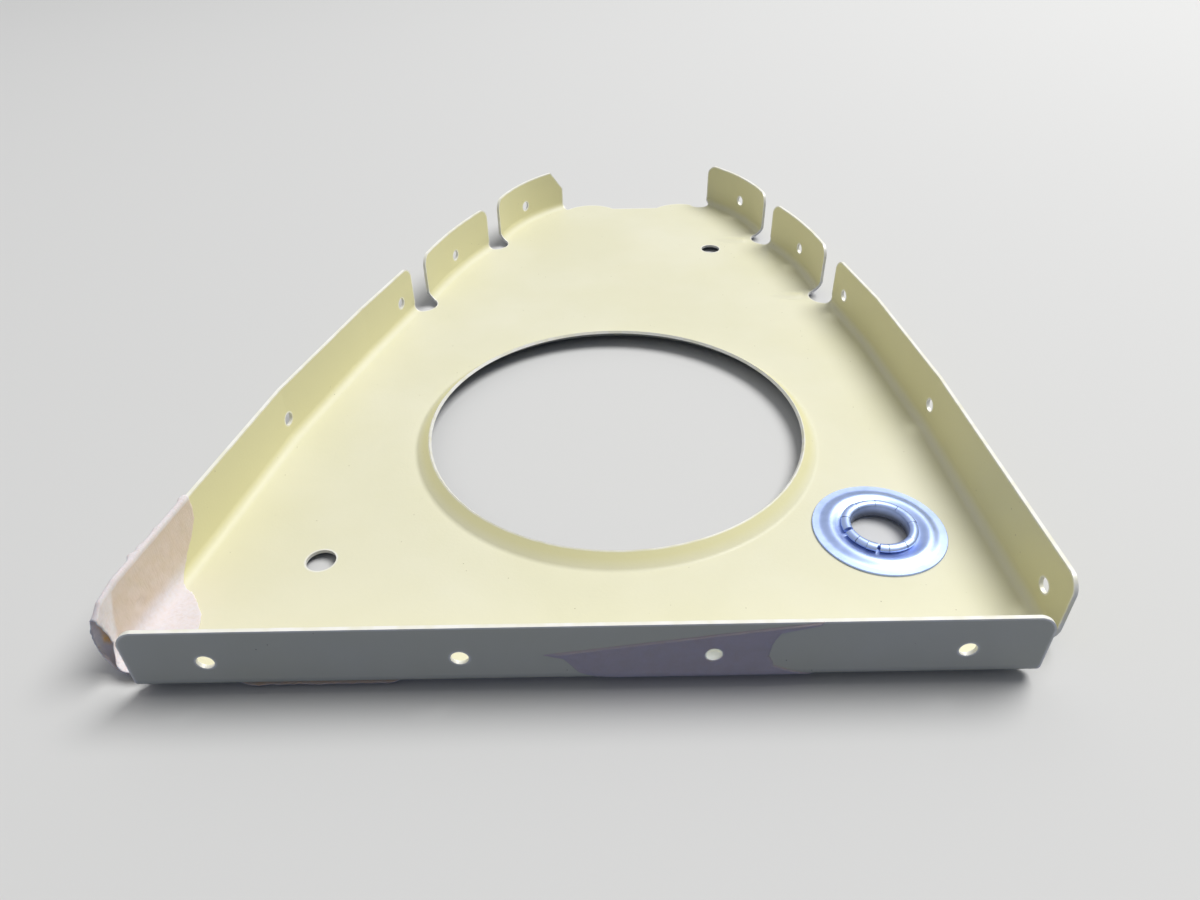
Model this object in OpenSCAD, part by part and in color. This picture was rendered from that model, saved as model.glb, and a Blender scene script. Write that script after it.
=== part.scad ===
// Nose rib of a small metal wing, pressed from one aluminium sheet.
// X runs along the spar, Y from the spar to the nose, Z up out of the web.
// The origin is the middle of the spar rivet row, on the outer face of the spar flange.
// A side is drawn as the right-hand one, and the left side is mirrored.

/* [Sheet] */
// Thickness of the sheet
sheet_t = 0.8; // [0.5:0.1:1.2]
// Inside radius of the flange bends
bend_r = 2.4; // [1.6:0.1:3]
// Height of every flange above the underside of the web
flange_h = 15.8; // [13:0.1:20]
// Radius of the flanges' top corners
corner_r = 4; // [2:0.5:5]

/* [Spar flange] */
// Length of the spar flange
spar_l = 166; // [150:1:168]
// Distance between neighbouring spar rivets
spar_pitch = 45.7; // [36:0.1:48]
// Height of the spar rivet row above the underside of the web
spar_rivet_z = 7.8; // [7:0.1:9]

/* [Right flange] */
// Distance of the right flange's front end from the middle of the spar
right_x = 90.4; // [88:0.1:96]
// Lean of its front facet towards the middle, in degrees
right_lean = 2.2; // [0:0.2:5]
// Length of its front facet
right_front_l = 69.8; // [60:0.1:80]
// Turn from its front facet to its middle one, in degrees
right_kink_a = 3.3; // [1:0.1:6]
// Length of its middle facet
right_middle_l = 42.5; // [34:0.1:48]
// Turn from its middle facet to its back one, in degrees
right_kink_b = 4.5; // [1:0.1:8]
// Length of its back facet
right_back_l = 28; // [22:0.1:34]

/* [Right tabs] */
// Length of the first tab
right_tab_a_l = 40; // [30:1:46]
// Turn of the first tab along its length, in degrees
right_tab_a_turn = 18.2; // [8:0.2:24]
// Distance of its front end inside the line of the flange before it
right_tab_a_in = 0.6; // [-1:0.1:2]
// Length of the nose tab
right_tab_b_l = 38; // [30:1:44]
// Turn of the nose tab along its length, in degrees
right_tab_b_turn = 36; // [20:1:42]
// Distance of its front end inside the line of the tab before it
right_tab_b_in = -1.5; // [-2:0.1:1]
// Gap between neighbouring edges at each notch
right_notch_w = 8.1; // [5:0.1:10]

/* [Left flange] */
// Distance of the left flange's front end from the middle of the spar
left_x = 89.2; // [88:0.1:96]
// Lean of its front facet towards the middle, in degrees
left_lean = 10.5; // [6:0.5:12]
// Length of its front facet
left_front_l = 70.9; // [60:0.1:80]
// Turn from its front facet to its middle one, in degrees
left_kink_a = 4.8; // [1:0.2:7]
// Length of its middle facet
left_middle_l = 43.5; // [34:0.5:50]
// Turn from its middle facet to its back one, in degrees
left_kink_b = 2.2; // [1:0.2:7]
// Length of its back facet
left_back_l = 29; // [22:0.5:34]

/* [Left tabs] */
// Length of the first tab
left_tab_a_l = 44; // [34:1:48]
// Turn of the first tab along its length, in degrees
left_tab_a_turn = 16.7; // [8:0.1:22]
// Distance of its front end inside the line of the flange before it
left_tab_a_in = 1.6; // [0:0.1:2]
// Length of the nose tab
left_tab_b_l = 40; // [32:1:44]
// Turn of the nose tab along its length, in degrees
left_tab_b_turn = 39.7; // [24:0.1:46]
// Distance of its front end inside the line of the tab before it
left_tab_b_in = 0.3; // [-1:0.1:1]
// Gap between neighbouring edges at each notch
left_notch_w = 7; // [5:0.1:10]
// Width of the straight cut across the nose tab's top corner
nose_cut_w = 5.4; // [2:0.1:8]
// Depth of that cut
nose_cut_h = 7.3; // [2:0.1:9]

/* [Flanges and notches] */
// Distance of both side flanges from the spar face
side_y = 8.2; // [6:0.1:12]
// Turn outwards from a flange to the tab after it, in degrees
tab_kick_a = 4.7; // [0:0.1:10]
// Turn outwards from the first tab to the nose tab, in degrees
tab_kick_b = 14.6; // [6:0.1:18]
// Extra radius of the relief at the foot of each notch
relief_extra = 0.9; // [0.4:0.1:1.2]
// Distance of the relief's centre inside the outer face
relief_in = 1; // [0.5:0.1:2]

/* [Nose edge] */
// Distance of the straight nose edge from the spar face
nose_y = 229.8; // [222:0.1:236]
// Radius of the two rounded lobes beside it
lobe_r = 12; // [9:0.5:14]
// How far the lobes stand past the straight edge
lobe_out = 3.9; // [1:0.1:5]
// Place of the left lobe across the rib
lobe_left_x = 1; // [-3:0.5:5]
// Place of the right lobe across the rib
lobe_right_x = 36; // [32:0.5:40]
// Radius of the relief beside the right nose tab
nose_relief_r = 3.6; // [2:0.1:4.5]

/* [Lightening hole] */
// Place of the hole across the rib
light_x = 7.2; // [4:0.1:10]
// Distance of the hole's centre from the spar face
light_y = 78.8; // [74:0.1:96]
// Clear diameter of the hole
light_d = 93.6; // [70:0.1:100]
// Width of its turned-up lip
lip_w = 4.6; // [3:0.1:7]
// Slope of the lip, in degrees
lip_slope = 38; // [20:1:50]
// Radius of the bend at the foot of the lip
lip_bend_r = 1.6; // [1:0.1:3]

/* [Holes] */
// Diameter of the rivet holes
rivet_d = 3.3; // [2.5:0.1:4.2]
// Height of the skin rivets above the underside of the web
skin_rivet_z = 6.9; // [6.5:0.1:9]
// Distance of the long flanges' end rivets from their ends
end_rivet_in = 8.1; // [6:0.1:14]
// Distance of the long flanges' middle rivet from their front end
middle_rivet_in = 70.9; // [50:0.1:90]
// Diameter of the tooling holes
tooling_d = 6.4; // [4:0.1:8]
// Place of the front tooling hole across the rib
tooling_front_x = -57.4; // [-62:0.1:-54]
// Distance of the front tooling hole from the spar face
tooling_front_y = 32.9; // [24:0.1:40]
// Place of the nose tooling hole across the rib
tooling_nose_x = 44.1; // [30:0.1:50]
// Distance of the nose tooling hole from the spar face
tooling_nose_y = 190; // [160:0.1:200]

/* [Grommet] */
// Place of the grommet across the rib
grommet_x = 64.4; // [60:0.1:68]
// Distance of the grommet from the spar face
grommet_y = 39.6; // [30:0.1:46]
// Bore of the grommet
grommet_bore = 12.4; // [9:0.1:13.5]
// Thickness of the grommet's metal
grommet_t = 0.45; // [0.3:0.05:0.6]
// Width of the rolled bead
bead_w = 2; // [1.8:0.1:2.6]
// Height of the rolled bead
bead_h = 1.6; // [1.4:0.1:1.8]
// Outer diameter of the washer
washer_d = 29.1; // [26:0.1:34]
// Width of the washer's flat rim
washer_rim_w = 1.4; // [0.8:0.1:2]
// How far the washer's crown stands up
washer_crown = 0.9; // [0.4:0.1:1.4]
// Outer diameter of the flange under the web
foot_d = 27; // [22:0.1:32]
// How far that flange is dished
foot_dish = 1; // [0.4:0.1:1.6]
// Play between the grommet's tube and the holes around it
grommet_play = 0.15; // [0.05:0.05:0.4]

/* [Tape] */
// Thickness of the tape
tape_t = 0.25; // [0.15:0.05:0.4]
// Gap between the tape and the sheet under it
tape_gap = 0.05; // [0.02:0.01:0.1]
// Length of the corner tape along the left flange
corner_tape_l = 29; // [16:1:45]
// How far the corner tape runs past the flange's front end
corner_tape_over = 3.5; // [2:0.5:6]
// Reach of the corner tape over the web
corner_tape_reach = 9; // [5:0.5:14]
// Length of the corner tape's foot along the bend
corner_tape_foot = 20; // [10:1:30]
// Reach of the spar tape to the left of the rivet that it covers
spar_tape_left = 31; // [10:1:40]
// Reach of the spar tape to the right of the rivet that it covers
spar_tape_right = 18.6; // [10:0.1:30]
// Height of the spar tape's left end
spar_tape_low = 8.3; // [6:0.1:10]
// Radius of the hollow torn out of its right end
spar_tape_tear_r = 7.6; // [3:0.1:8]
// Slant of its torn left end, along the flange
spar_tape_slant = 9.4; // [3:0.1:14]
// Width of the tape under the web
under_tape_w = 9; // [5:0.5:20]
// Reach of the tape under the web, to the left of the middle of the spar
under_tape_left = 66; // [30:1:80]

/* [Hidden] */

// Outside radius of the flange bends, which is also how far they reach in from the outer face
bend_o = bend_r + sheet_t;
// Web that is swept together with each bend, and how far inside the bend the flat web starts
strip_past = 4.8;
web_inset = 0.3;
strip_w = bend_o + strip_past;
web_in = bend_o + web_inset;
// Overlap of the cutting shapes past the faces that they cut
past = 1;
// How far the arcs of the rounded corners run past the faces that they meet
corner_ease = 0.06;
// Facets of a full turn on holes and on the wide arcs of the flanges
hole_fn = 48;
arc_fn = 720;

// A stretch is [length, kink before it, turn along it]. A run is a list of stretches, end to end.
right_runs = [
    [[right_front_l, 0, 0], [right_middle_l, right_kink_a, 0], [right_back_l, right_kink_b, 0]],
    [[right_tab_a_l, 0, right_tab_a_turn]],
    [[right_tab_b_l, 0, right_tab_b_turn]]];
left_runs = [
    [[left_front_l, 0, 0], [left_middle_l, left_kink_a, 0], [left_back_l, left_kink_b, 0]],
    [[left_tab_a_l, 0, left_tab_a_turn]],
    [[left_tab_b_l, 0, left_tab_b_turn]]];
// A notch is [gap, step inwards, turn] between one run and the next.
right_notches = [
    [right_notch_w, right_tab_a_in, -tab_kick_a],
    [right_notch_w, right_tab_b_in, -tab_kick_b]];
left_notches = [
    [left_notch_w, left_tab_a_in, -tab_kick_a],
    [left_notch_w, left_tab_b_in, -tab_kick_b]];

// A pose is [x, y, heading], with the heading in degrees from +Y towards the middle of the rib.
function moved(p, l, t) = t == 0
    ? [p[0] - l * sin(p[2]), p[1] + l * cos(p[2]), p[2]]
    : let (r = l * 180 / (PI * t))
      [p[0] + r * (cos(p[2] + t) - cos(p[2])), p[1] + r * (sin(p[2] + t) - sin(p[2])), p[2] + t];
function inward(p, d) = [p[0] - d * cos(p[2]), p[1] - d * sin(p[2])];
function stretch_pose(p, run, i) =
    let (q = i == 0 ? p : moved(stretch_pose(p, run, i - 1), run[i - 1][0], run[i - 1][2]))
    [q[0], q[1], q[2] + run[i][1]];
function run_l(run, n) = n == 0 ? 0 : run[n - 1][0] + run_l(run, n - 1);
function total_l(run) = run_l(run, len(run));
function stretch_of(run, s, i = 0) =
    i == len(run) - 1 || s <= run_l(run, i + 1) ? i : stretch_of(run, s, i + 1);
function pose_at(p, run, s) =
    let (i = stretch_of(run, s), along = s - run_l(run, i))
    moved(stretch_pose(p, run, i), along, run[i][2] * along / run[i][0]);
function run_end(p, run) = pose_at(p, run, total_l(run));
function over_notch(p, notch) =
    let (q = inward(moved(p, notch[0], 0), notch[1]))
    [q[0], q[1], p[2] + notch[2]];
function run_start(first, runs, notches, i) = i == 0 ? first
    : over_notch(run_end(run_start(first, runs, notches, i - 1), runs[i - 1]), notches[i - 1]);

right_first = [right_x, side_y, right_lean];
left_first = [left_x, side_y, left_lean];
right_starts = [for (i = [0:2]) run_start(right_first, right_runs, right_notches, i)];
left_starts = [for (i = [0:2]) run_start(left_first, left_runs, left_notches, i)];
spar_start = [-spar_l / 2, 0, -90];
spar_run = [[spar_l, 0, 0]];

// Points of the flat web under a run's bend, from near its front end to near its back end
web_steps = 5;
web_end_in = 2;
function web_edge(p, run) =
    let (covered = total_l(run) - 2 * web_end_in)
    [for (i = [0:web_steps]) inward(pose_at(p, run, web_end_in + covered * i / web_steps), web_in)];

// Stations of the rivets along a long flange and along a tab
function rivets_of(run, i) = i == 0
    ? [end_rivet_in, middle_rivet_in, total_l(run) - end_rivet_in] : [total_l(run) / 2];

lip_start_r = light_d / 2 + lip_w;
bead_in_r = grommet_bore / 2;
tube_r = bead_in_r + grommet_t;
grommet_hole_r = tube_r + grommet_play;
bead_clearance = 0.1;
washer_dish_in = bead_in_r + bead_w + bead_clearance;
washer_dish_out = washer_d / 2 - washer_rim_w;

module at_pose(p) {
    translate([p[0], p[1], 0])
        rotate(p[2])
            children();
}

// Moves the whole rib so that the spar rivet row is at height zero
module on_datum() {
    translate([0, 0, -spar_rivet_z])
        children();
}

module left_side() {
    mirror([1, 0, 0])
        children();
}

// A section swept straight or round an arc
module stretch(p, l, t) {
    if (t == 0)
        at_pose(p)
            translate([0, l, 0])
                rotate([90, 0, 0])
                    linear_extrude(l)
                        children();
    else {
        r = l * 180 / (PI * t);
        translate([p[0] - r * cos(p[2]), p[1] - r * sin(p[2]), 0])
            rotate(p[2])
                rotate_extrude(angle = t, $fn = arc_fn)
                    translate([r, 0])
                        children();
    }
}

// A quarter ring in the corner between the web and a flange
module bend_ring(outer_r, inner_r) {
    translate([-bend_o, bend_o])
        intersection() {
            difference() {
                circle(outer_r, $fn = hole_fn);
                circle(inner_r, $fn = hole_fn);
            }
            translate([0, -2 * bend_o])
                square(2 * bend_o);
        }
}

// Section of the sheet across a flange: wall, bend and a strip of the web
module flange_section() {
    translate([-sheet_t, bend_o])
        square([sheet_t, flange_h - bend_o]);
    bend_ring(bend_o, bend_r);
    translate([-strip_w, 0])
        square([strip_w - bend_o, sheet_t]);
}

// Everything inside a flange's face, with the lower corner rounded
module inside_of(w, r) {
    difference() {
        translate([-w, 0])
            square([w, flange_h]);
        translate([-r, 0])
            difference() {
                square(r);
                translate([0, r])
                    circle(r, $fn = hole_fn);
            }
    }
}

// The space inside all the facets of a run, set in and up from its outer faces
module inside_facets(p, run, in, r) {
    reach = total_l(run);
    intersection_for (i = [0:len(run) - 1])
        at_pose(stretch_pose(p, run, i))
            translate([-in, 2 * reach, in])
                rotate([90, 0, 0])
                    linear_extrude(4 * reach)
                        inside_of(reach, r);
}

// A flange of several flat facets, folded along one line of bends
module faceted_flange(p, run) {
    stations = [for (i = [0:len(run)]) pose_at(p, run, run_l(run, i))];
    intersection() {
        difference() {
            inside_facets(p, run, 0, bend_o);
            inside_facets(p, run, sheet_t, bend_r);
        }
        translate([0, 0, -past])
            linear_extrude(flange_h + 2 * past)
                polygon(concat(
                    [for (q = stations) inward(q, -past)],
                    [for (i = [len(run):-1:0]) inward(stations[i], strip_w)]));
    }
}

// Removes a flange's top corner, with the flange running along +Y from the pose
module corner_cut(r) {
    centre_in = r - corner_ease;
    translate([-bend_o, 0, flange_h])
        rotate([90, 0, 90])
            linear_extrude(bend_o + past)
                difference() {
                    translate([-past, -centre_in])
                        square(centre_in + past);
                    translate([centre_in, -centre_in])
                        circle(r, $fn = hole_fn);
                }
}

// Straight cut across the corner at the end of the left nose tab
module nose_corner_cut() {
    translate([-bend_o, 0, flange_h])
        rotate([90, 0, 90])
            linear_extrude(bend_o + past)
                polygon([[-nose_cut_w * (1 + past / nose_cut_h), past],
                         [past, -nose_cut_h * (1 + past / nose_cut_w)],
                         [past, past]]);
}

module rivet_hole(z) {
    translate([-bend_o, 0, z])
        rotate([0, 90, 0])
            cylinder(d = rivet_d, h = bend_o + past, $fn = hole_fn);
}

// A finished run: folded sheet, rounded top corners and rivet holes
module flange(p, run, rivets, rivet_z, cut_end = false) {
    difference() {
        if (len(run) > 1)
            faceted_flange(p, run);
        else
            stretch(p, run[0][0], run[0][2])
                flange_section();
        at_pose(p)
            corner_cut(corner_r);
        at_pose(run_end(p, run)) {
            if (cut_end)
                nose_corner_cut();
            else
                mirror([0, 1, 0])
                    corner_cut(corner_r);
        }
        for (s = rivets)
            at_pose(pose_at(p, run, s))
                rivet_hole(rivet_z);
    }
}

module side_flanges(starts, runs, cut_nose) {
    for (i = [0:2])
        flange(starts[i], runs[i], rivets_of(runs[i], i), skin_rivet_z, cut_nose && i == 2);
}

module relief(at, r) {
    translate([at[0], at[1], sheet_t])
        sphere(r, $fn = hole_fn);
}

// Round reliefs at the foot of the notches and at the open front corner
module side_reliefs(starts, runs, notches) {
    for (i = [0:1]) {
        foot = inward(run_end(starts[i], runs[i]), relief_in);
        next_foot = inward(starts[i + 1], relief_in);
        relief((foot + next_foot) / 2, notches[i][0] / 2 + relief_extra);
    }
    spar_corner = [spar_l / 2, bend_o];
    side_corner = inward(starts[0], bend_o);
    relief((spar_corner + side_corner) / 2, norm(side_corner - spar_corner) / 2 + relief_extra);
}

module nose_relief() {
    end = run_end(right_starts[2], right_runs[2]);
    relief(inward(moved(end, relief_in, 0), bend_o + relief_in), nose_relief_r);
}

// Outline of the flat web, inside the bends, with the straight nose edge and its two lobes
module web_outline() {
    right_edge = [for (i = [0:2]) each web_edge(right_starts[i], right_runs[i])];
    left_edge = [for (i = [0:2]) each web_edge(left_starts[i], left_runs[i])];
    intersection() {
        polygon(concat(
            [for (end = [-1, 1]) [end * (spar_l / 2 - web_end_in), web_in]],
            right_edge,
            [for (i = [len(left_edge) - 1:-1:0]) [-left_edge[i][0], left_edge[i][1]]]));
        translate([-spar_l, 0])
            square([2 * spar_l, nose_y]);
    }
    for (x = [lobe_left_x, lobe_right_x])
        translate([x, nose_y + lobe_out - lobe_r])
            circle(lobe_r, $fn = 2 * hole_fn);
}

// Turned-up lip of the lightening hole: a bend, then a straight slope up to the rim
lip_steps = 6;
module lip_section() {
    bend_c = [lip_start_r, sheet_t + lip_bend_r];
    angles = [for (i = [0:lip_steps]) lip_slope * i / lip_steps];
    along = [-cos(lip_slope), sin(lip_slope)];
    function on_bend(r, a) = bend_c - r * [sin(a), cos(a)];
    under = on_bend(lip_bend_r + sheet_t, lip_slope);
    slope_l = (under[0] - light_d / 2) / cos(lip_slope);
    polygon(concat(
        [[lip_start_r + 2 * past, sheet_t]],
        [for (a = angles) on_bend(lip_bend_r, a)],
        [on_bend(lip_bend_r, lip_slope) + slope_l * along, under + slope_l * along],
        [for (i = [lip_steps:-1:0]) on_bend(lip_bend_r + sheet_t, angles[i])],
        [[lip_start_r + 2 * past, 0]]));
}

module web() {
    difference() {
        linear_extrude(sheet_t)
            web_outline();
        translate([light_x, light_y, -past])
            cylinder(r = lip_start_r + past, h = sheet_t + 2 * past, $fn = arc_fn);
        for (at = [[tooling_front_x, tooling_front_y], [tooling_nose_x, tooling_nose_y]])
            translate([at[0], at[1], -past])
                cylinder(d = tooling_d, h = sheet_t + 2 * past, $fn = hole_fn);
        translate([grommet_x, grommet_y, -past])
            cylinder(r = grommet_hole_r, h = sheet_t + 2 * past, $fn = hole_fn);
    }
    translate([light_x, light_y, 0])
        rotate_extrude($fn = arc_fn)
            lip_section();
}

module rib() {
    color("#e9e4bf")
        on_datum()
            difference() {
                union() {
                    web();
                    flange(spar_start, spar_run,
                           [for (i = [-1.5:1:1.5]) spar_l / 2 + i * spar_pitch], spar_rivet_z);
                    side_flanges(right_starts, right_runs, false);
                    left_side()
                        side_flanges(left_starts, left_runs, true);
                }
                side_reliefs(right_starts, right_runs, right_notches);
                left_side()
                    side_reliefs(left_starts, left_runs, left_notches);
                nose_relief();
            }
}

module at_grommet() {
    on_datum()
        translate([grommet_x, grommet_y, 0])
            children();
}

// A flattened round, as wide and as high as the bead
module bead_round(w, h) {
    for (x = [h / 2, w - h / 2])
        translate([x, 0])
            circle(d = h, $fn = hole_fn);
    translate([h / 2, -h / 2])
        square([w - h, h]);
}

// Tube of the grommet, its dished flange under the web and its rolled bead over the washer
module grommet_eyelet() {
    bead_z = sheet_t + grommet_t + bead_h / 2;
    color("#c9ced6")
        at_grommet()
            rotate_extrude($fn = 2 * hole_fn) {
                polygon([[bead_in_r, bead_z], [bead_in_r, -grommet_t], [tube_r + bead_w, -grommet_t],
                         [foot_d / 2, -foot_dish - grommet_t], [foot_d / 2, -foot_dish],
                         [tube_r + bead_w, 0], [tube_r, 0], [tube_r, bead_z]]);
                translate([bead_in_r, bead_z])
                    difference() {
                        bead_round(bead_w, bead_h);
                        translate([grommet_t, 0])
                            bead_round(bead_w - 2 * grommet_t, bead_h - 2 * grommet_t);
                    }
            }
}

// Height of the washer's crown at a share of the way across its dish
washer_steps = 12;
function crown_at(share) = washer_crown * (1 - cos(360 * share)) / 2;
function crown_line(z) = [for (i = [0:washer_steps])
    let (share = i / washer_steps)
    [washer_dish_in + (washer_dish_out - washer_dish_in) * share, z + crown_at(share)]];

module grommet_washer() {
    color("#d5dae2")
        at_grommet()
            translate([0, 0, sheet_t])
                rotate_extrude($fn = 2 * hole_fn)
                    polygon(concat(
                        [[grommet_hole_r, 0]],
                        crown_line(0),
                        [[washer_d / 2, 0], [washer_d / 2, grommet_t]],
                        [for (i = [washer_steps:-1:0]) crown_line(grommet_t)[i]],
                        [[grommet_hole_r, grommet_t]]));
}

// Tape over a flange's wall: inner face, top edge and outer face
module tape_over_wall() {
    layer = tape_gap + tape_t;
    difference() {
        translate([-sheet_t - layer, bend_o])
            square([sheet_t + 2 * layer, flange_h + layer - bend_o]);
        translate([-sheet_t - tape_gap, bend_o - past])
            square([sheet_t + 2 * tape_gap, flange_h + tape_gap - bend_o + past]);
    }
}

// Tape down the inside of the bend and out over the web
module tape_over_foot() {
    bend_ring(bend_r - tape_gap, bend_r - tape_gap - tape_t);
    translate([-bend_o - corner_tape_reach, sheet_t + tape_gap])
        square([corner_tape_reach, tape_t]);
}

// Masking tape folded over the left front corner, past the flange's end
module corner_tape() {
    reach = corner_tape_reach + bend_o;
    foot_at = moved(left_first, corner_tape_foot - reach, 0);
    color("#d9c4b2")
        on_datum()
            left_side() {
                stretch(moved(left_first, -corner_tape_over, 0), corner_tape_over + corner_tape_l, 0)
                    tape_over_wall();
                intersection() {
                    stretch(left_first, corner_tape_foot, 0)
                        tape_over_foot();
                    translate([foot_at[0], foot_at[1], 0])
                        cylinder(r = reach, h = flange_h, $fn = hole_fn);
                }
            }
}

// Masking tape over the third spar rivet, torn at both ends and wrapped under the web
module spar_tape() {
    layer = tape_gap + tape_t;
    left = spar_pitch / 2 - spar_tape_left;
    right = spar_pitch / 2 + spar_tape_right;
    under_l = right + under_tape_left;
    color("#cdbfae")
        on_datum() {
            intersection() {
                stretch([left, 0, -90], right - left, 0) {
                    translate([tape_gap, bend_o])
                        square([tape_t, flange_h - bend_o]);
                    bend_ring(bend_o + layer, bend_o + tape_gap);
                }
                rotate([90, 0, 0])
                    translate([0, 0, -2 * bend_o])
                        linear_extrude(4 * bend_o)
                            difference() {
                                polygon([[left + spar_tape_slant, -past], [left, spar_tape_low],
                                         [right, flange_h], [right, -past]]);
                                translate([right, spar_rivet_z])
                                    circle(spar_tape_tear_r, $fn = hole_fn);
                            }
            }
            stretch([-under_tape_left, 0, -90], under_l, 0)
                translate([-bend_o - under_tape_w, -layer])
                    square([under_tape_w, tape_t]);
        }
}

rib();
grommet_eyelet();
grommet_washer();
corner_tape();
spar_tape();
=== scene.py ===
# %% [markdown]
# # A nose rib of a small metal wing
# The part is one pressed sheet with a clinched metal grommet and two remnants of masking tape.
# The sheet comes from the CAD model as it is, because its shape is already exact.
# This lesson gives it a primer finish, raises two low puckers, spins a finer grommet,
# folds the paper tape, and sets the light.

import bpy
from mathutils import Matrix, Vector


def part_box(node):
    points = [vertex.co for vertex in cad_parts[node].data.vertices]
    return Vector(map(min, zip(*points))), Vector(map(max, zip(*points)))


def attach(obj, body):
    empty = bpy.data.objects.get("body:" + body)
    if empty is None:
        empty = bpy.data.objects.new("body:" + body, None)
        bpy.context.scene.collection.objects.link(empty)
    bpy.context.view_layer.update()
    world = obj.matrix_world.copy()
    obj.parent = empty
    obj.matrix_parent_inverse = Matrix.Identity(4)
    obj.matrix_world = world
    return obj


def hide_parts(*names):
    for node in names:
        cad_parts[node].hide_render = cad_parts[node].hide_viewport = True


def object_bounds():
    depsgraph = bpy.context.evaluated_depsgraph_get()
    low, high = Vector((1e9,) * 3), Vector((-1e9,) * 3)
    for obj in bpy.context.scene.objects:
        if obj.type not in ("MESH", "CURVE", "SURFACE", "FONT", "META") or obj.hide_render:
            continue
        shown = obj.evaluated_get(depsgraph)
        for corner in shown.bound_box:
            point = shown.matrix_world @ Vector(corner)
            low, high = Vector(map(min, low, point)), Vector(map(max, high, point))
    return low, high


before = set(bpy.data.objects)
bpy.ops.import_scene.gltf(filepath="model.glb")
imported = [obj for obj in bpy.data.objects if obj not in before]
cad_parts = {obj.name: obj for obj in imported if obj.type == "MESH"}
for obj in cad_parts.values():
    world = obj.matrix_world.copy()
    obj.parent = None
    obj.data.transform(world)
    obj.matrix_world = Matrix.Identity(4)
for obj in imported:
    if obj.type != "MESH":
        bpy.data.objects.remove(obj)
cad_low, cad_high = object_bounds()
print("CAD box in mm:", [round(1000 * (h - l), 1) for l, h in zip(cad_low, cad_high)])

# %% Modules and units
import math

import bmesh
import bpy
from mathutils import Matrix, Vector, noise

MM = 0.001


def mix(a, b, share):
    return a + (b - a) * share


def smooth_share(value, start, end):
    """0 before start, 1 after end, and a smooth rise between them."""
    share = min(1.0, max(0.0, (value - start) / (end - start)))
    return share * share * (3 - 2 * share)


def along_points(points, value):
    """Straight interpolation through (value, result) pairs, held level past the ends."""
    if value <= points[0][0]:
        return points[0][1]
    for (v0, r0), (v1, r1) in zip(points, points[1:]):
        if value <= v1:
            return mix(r0, r1, (value - v0) / (v1 - v0))
    return points[-1][1]


print("values are written in millimetres and multiplied by", MM)

# %% [markdown]
# ## The sizes that the looks depend on
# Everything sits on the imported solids, so the places are read from their boxes.
# Only the sheet's thickness and bend, which a box can't show, are written here.

# %% Places read from the solids
rib_low, rib_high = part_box("rib")
washer_low, washer_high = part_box("grommet_washer")
eyelet_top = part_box("grommet_eyelet")[1].z

SHEET = 0.8 * MM
BEND_OUT = 3.2 * MM
WEB_UNDER = rib_low.z
WEB_TOP = rib_low.z + SHEET
FLANGE_TOP = rib_high.z
FLANGE_H = FLANGE_TOP - WEB_UNDER
grommet_axis = Vector(((washer_low.x + washer_high.x) / 2, (washer_low.y + washer_high.y) / 2, 0))
print("web top at", round(WEB_TOP / MM, 2), "mm, flanges up to", round(FLANGE_TOP / MM, 2), "mm")
print("grommet at", [round(c / MM, 1) for c in grommet_axis.xy])

# %% [markdown]
# ## The camera
# The photograph was taken close up with a wide lens, from in front of the spar flange and looking
# down. Its place, tilt and focal length were worked out from the straight rivet row and the round
# holes, so they are set directly: a helper that frames the object would lose the perspective.

# %% Make the camera
CAMERA_AT = Vector((3.0, -100.6, 122.4)) * MM
CAMERA_TILT = math.radians(52.91)
CAMERA_ROLL = math.radians(-0.98)
LENS_MM = 25.73
SENSOR_MM = 36.0
CLIP_NEAR, CLIP_FAR = 0.005, 20.0

camera_data = bpy.data.cameras.new("camera")
camera_data.sensor_fit = "HORIZONTAL"
camera_data.sensor_width = SENSOR_MM
camera_data.lens = LENS_MM
camera_data.clip_start = CLIP_NEAR
camera_data.clip_end = CLIP_FAR
camera = bpy.data.objects.new("camera", camera_data)
turn = Matrix.Rotation(CAMERA_TILT, 4, "X") @ Matrix.Rotation(CAMERA_ROLL, 4, "Z")
camera.matrix_world = Matrix.Translation(CAMERA_AT) @ turn
bpy.context.scene.collection.objects.link(camera)
bpy.context.scene.camera = camera
print("camera looks down by", round(90 - math.degrees(CAMERA_TILT), 1), "degrees")

# %% [markdown]
# ## A short way to write node materials
# A material is a small graph. One call names a node's kind, its settings and what feeds it.
# The helpers after it do the same for the few kinds of node that every recipe here uses,
# so a recipe stays as short as a sentence.

# %% Material helpers


def start_material(name):
    material = bpy.data.materials.new(name)
    material.use_nodes = True
    tree = material.node_tree
    return material, tree, tree.nodes["Principled BSDF"]


def add_node(tree, kind, feeds=None, **settings):
    """Adds a node, sets its properties, then fills sockets from values or from other sockets."""
    node = tree.nodes.new(kind)
    for key, value in settings.items():
        setattr(node, key, value)
    for socket, value in (feeds or {}).items():
        if isinstance(value, bpy.types.NodeSocket):
            tree.links.new(value, node.inputs[socket])
        else:
            node.inputs[socket].default_value = value
    return node


def noise_of(tree, where, scale, detail, roughness=0.55):
    feeds = {"Vector": where, "Scale": scale, "Detail": detail, "Roughness": roughness}
    return add_node(tree, "ShaderNodeTexNoise", feeds).outputs["Fac"]


def ramp_of(tree, value, low, high, from_low=0.0, from_high=1.0):
    """Maps from_low..from_high to low..high, and holds the ends."""
    feeds = {"Value": value, "From Min": from_low, "From Max": from_high,
             "To Min": low, "To Max": high}
    return add_node(tree, "ShaderNodeMapRange", feeds).outputs["Result"]


def patches_of(tree, where, scale, detail, span, low=0.0, high=1.0):
    """Soft patches: low where the noise is under its span, and high where it is over it."""
    return ramp_of(tree, noise_of(tree, where, scale, detail), low, high, *span)


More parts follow.
